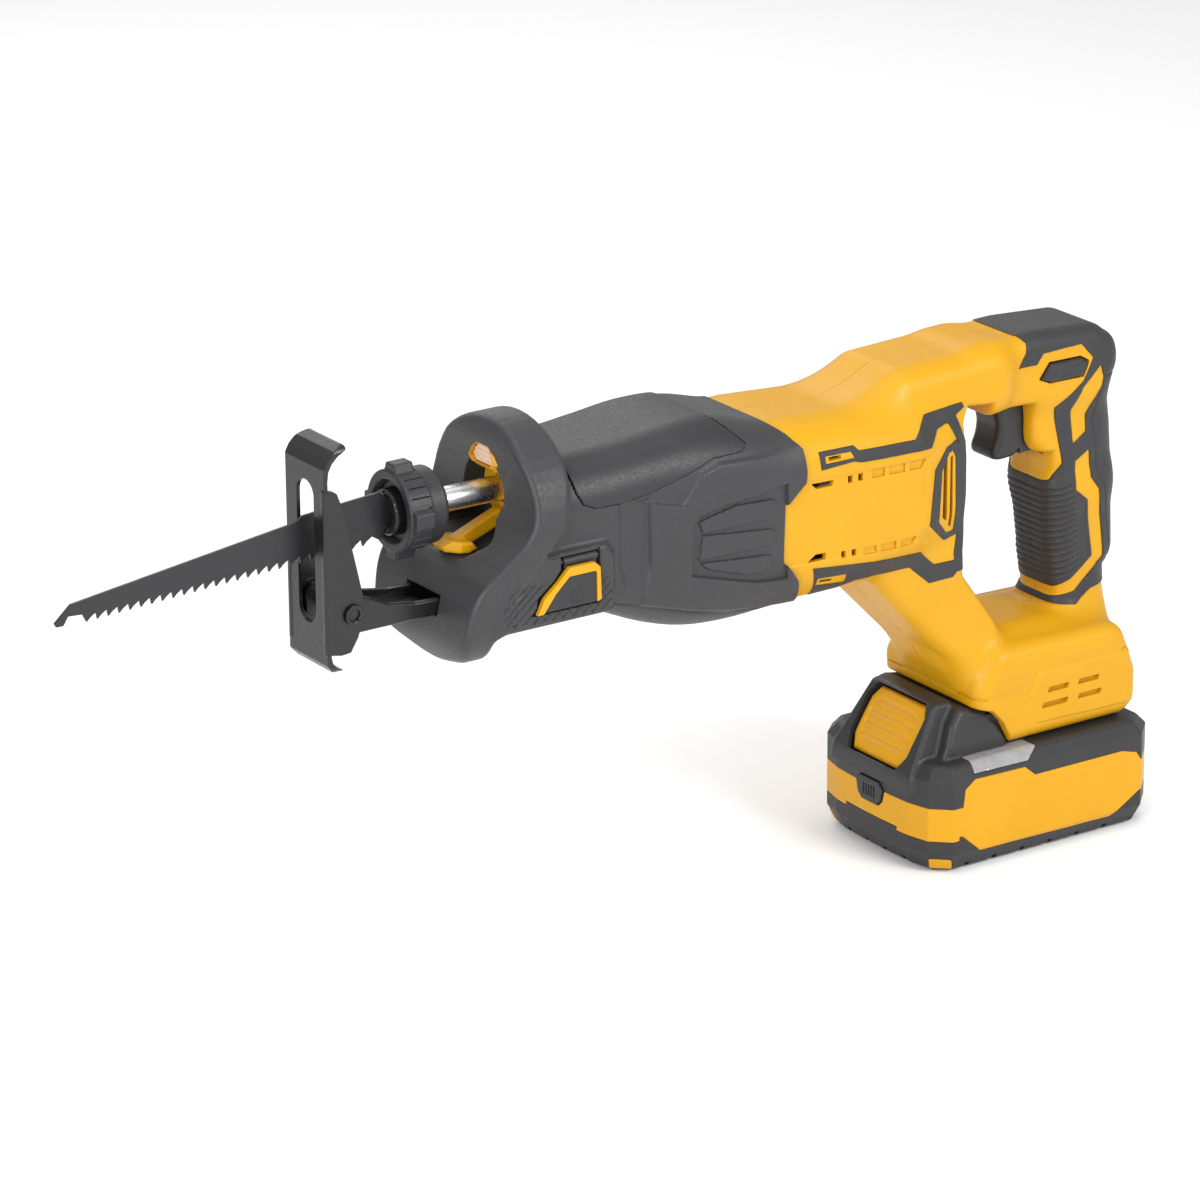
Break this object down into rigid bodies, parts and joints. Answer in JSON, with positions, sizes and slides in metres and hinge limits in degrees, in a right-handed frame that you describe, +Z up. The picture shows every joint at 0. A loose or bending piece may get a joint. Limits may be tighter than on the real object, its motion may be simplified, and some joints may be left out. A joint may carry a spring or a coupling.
{
  "type": "cordless reciprocating saw",
  "caption": "Cordless reciprocating saw with D-handle, slide-on battery pack, twist-collar blade clamp, toothed blade, pivoting shoe on a sliding post and front finger guard.",
  "frame": {"origin": "centre of the battery pack underside, the face the saw stands on", "axes": "-X towards the blade along the length, +Z up, +Y to the right side as seen by the user"},
  "size_m": [0.5146, 0.0886, 0.2376],
  "materials": {
    "yellow_plastic": "satin",
    "dark_rubber": "matte moulded",
    "dark_plastic": "fine texture",
    "black_steel": "semi-gloss",
    "steel": "polished",
    "blade_steel": "coated",
    "aluminium": "cast",
    "bronze": "sintered",
    "clear": "clear",
    "board": "circuit board",
    "copper": "enamelled wire",
    "laminate": "laminated",
    "cell": "sleeved"
  },
  "bodies": {
    "saw_body": {"left_housing": "yellow_plastic", "right_housing": "yellow_plastic", "housing_screws": "steel", "grip_skins": "dark_rubber", "side_trims": "dark_plastic", "front_boot": "dark_rubber", "boot_cover": "dark_rubber", "light_bezel": "yellow_plastic", "light_lens": "clear", "nose_trim": "yellow_plastic", "gear_case_left": "aluminium", "gear_case_right": "aluminium", "gear_case_screws": "steel", "front_bushing": "bronze", "rear_bushing": "bronze", "rod_seal": "dark_rubber", "shaft_bearings": "steel", "stator_core": "laminate", "windings": "copper", "sensor_board": "board", "motor_bracket": "dark_plastic", "motor_bearings": "steel", "lever_pin": "steel", "trigger_spring": "steel", "switch_body": "dark_plastic", "controller_board": "board", "heat_sink": "aluminium", "terminal_block": "dark_plastic", "terminal_blades": "bronze"},
    "rotor": {"rotor_core": "laminate", "motor_shaft": "steel", "fan": "dark_plastic"},
    "counter_shaft": {"counter_shaft": "steel", "drive_gear": "steel", "wobble_sleeve": "steel"},
    "wobble_arm": {"wobble_arm": "steel"},
    "plunger": {"plunger_rod": "steel", "clamp_body": "black_steel", "blade": "blade_steel", "collar_spring": "steel"},
    "collar": {"clamp_collar": "black_steel"},
    "shoe_post": {"shoe_post": "black_steel", "shoe_pin": "steel"},
    "shoe": {"shoe": "black_steel"},
    "lock_lever": {"lock_lever": "dark_plastic", "lever_rim": "yellow_plastic"},
    "trigger": {"trigger": "dark_plastic"},
    "lock_off_button": {"lock_off_button": "dark_plastic"},
    "battery": {"battery_lower_case": "dark_plastic", "battery_band": "yellow_plastic", "battery_upper_case": "dark_plastic", "level_window": "clear", "release_spring": "steel", "battery_cells": "cell", "cell_straps": "steel", "pack_board": "board", "corner_pads": "yellow_plastic", "battery_screws": "steel"},
    "release_button": {"release_button": "yellow_plastic"},
    "gauge_button": {"gauge_button": "dark_plastic"}
  },
  "joints": [
    {"name": "plunger_slide", "type": "slide", "parent": "saw_body", "child": "plunger", "axis": [-1, 0, 0], "range_m": [-0.009, 0.016]},
    {"name": "wobble_arm_swing", "type": "hinge", "parent": "saw_body", "child": "wobble_arm", "pos_m": [-0.194, 0, 0.156], "axis": [0, 1, 0], "range_deg": [-20.7, 11.7]},
    {"name": "counter_shaft_spin", "type": "hinge", "parent": "saw_body", "child": "counter_shaft", "pos_m": [-0.18, 0, 0.156], "axis": [1, 0, 0], "continuous": true},
    {"name": "motor_spin", "type": "hinge", "parent": "saw_body", "child": "rotor", "pos_m": [-0.1, 0, 0.17], "axis": [1, 0, 0], "continuous": true},
    {"name": "collar_twist", "type": "hinge", "parent": "plunger", "child": "collar", "pos_m": [-0.295, 0, 0.2005], "axis": [-1, 0, 0], "range_deg": [0, 70], "stiffness_Nm_per_rad": 0.25, "springref_deg": -20.05},
    {"name": "shoe_post_slide", "type": "slide", "parent": "saw_body", "child": "shoe_post", "axis": [-1, 0, 0], "range_m": [0, 0.025]},
    {"name": "shoe_pivot", "type": "hinge", "parent": "shoe_post", "child": "shoe", "pos_m": [-0.331, 0, 0.167], "axis": [0, 1, 0], "range_deg": [-25, 10]},
    {"name": "lock_lever_flip", "type": "hinge", "parent": "saw_body", "child": "lock_lever", "pos_m": [-0.245, -0.0348, 0.1774], "axis": [-1, 0, 0], "range_deg": [0, 75]},
    {"name": "trigger_press", "type": "slide", "parent": "saw_body", "child": "trigger", "axis": [1, 0, 0], "range_m": [0, 0.005], "stiffness_N_per_m": 900, "springref_m": -0.002, "deforming": ["trigger_spring"]},
    {"name": "lock_off_slide", "type": "slide", "parent": "saw_body", "child": "lock_off_button", "axis": [0, 1, 0], "range_m": [-0.0022, 0.0022]},
    {"name": "battery_slide", "type": "slide", "parent": "saw_body", "child": "battery", "axis": [-1, 0, 0], "range_m": [0, 0.11]},
    {"name": "release_press", "type": "slide", "parent": "battery", "child": "release_button", "axis": [0.8517, 0, -0.524], "range_m": [0, 0.003], "stiffness_N_per_m": 1500, "springref_m": -0.002},
    {"name": "gauge_press", "type": "slide", "parent": "battery", "child": "gauge_button", "axis": [1, 0, 0], "range_m": [0, 0.0007], "stiffness_N_per_m": 800, "springref_m": -0.001}
  ],
  "couplings": [
    {"joint": "wobble_arm_swing", "follows": "plunger_slide", "rad_per_m": -22.472},
    {"joint": "motor_spin", "follows": "counter_shaft_spin", "ratio": -3}
  ]
}
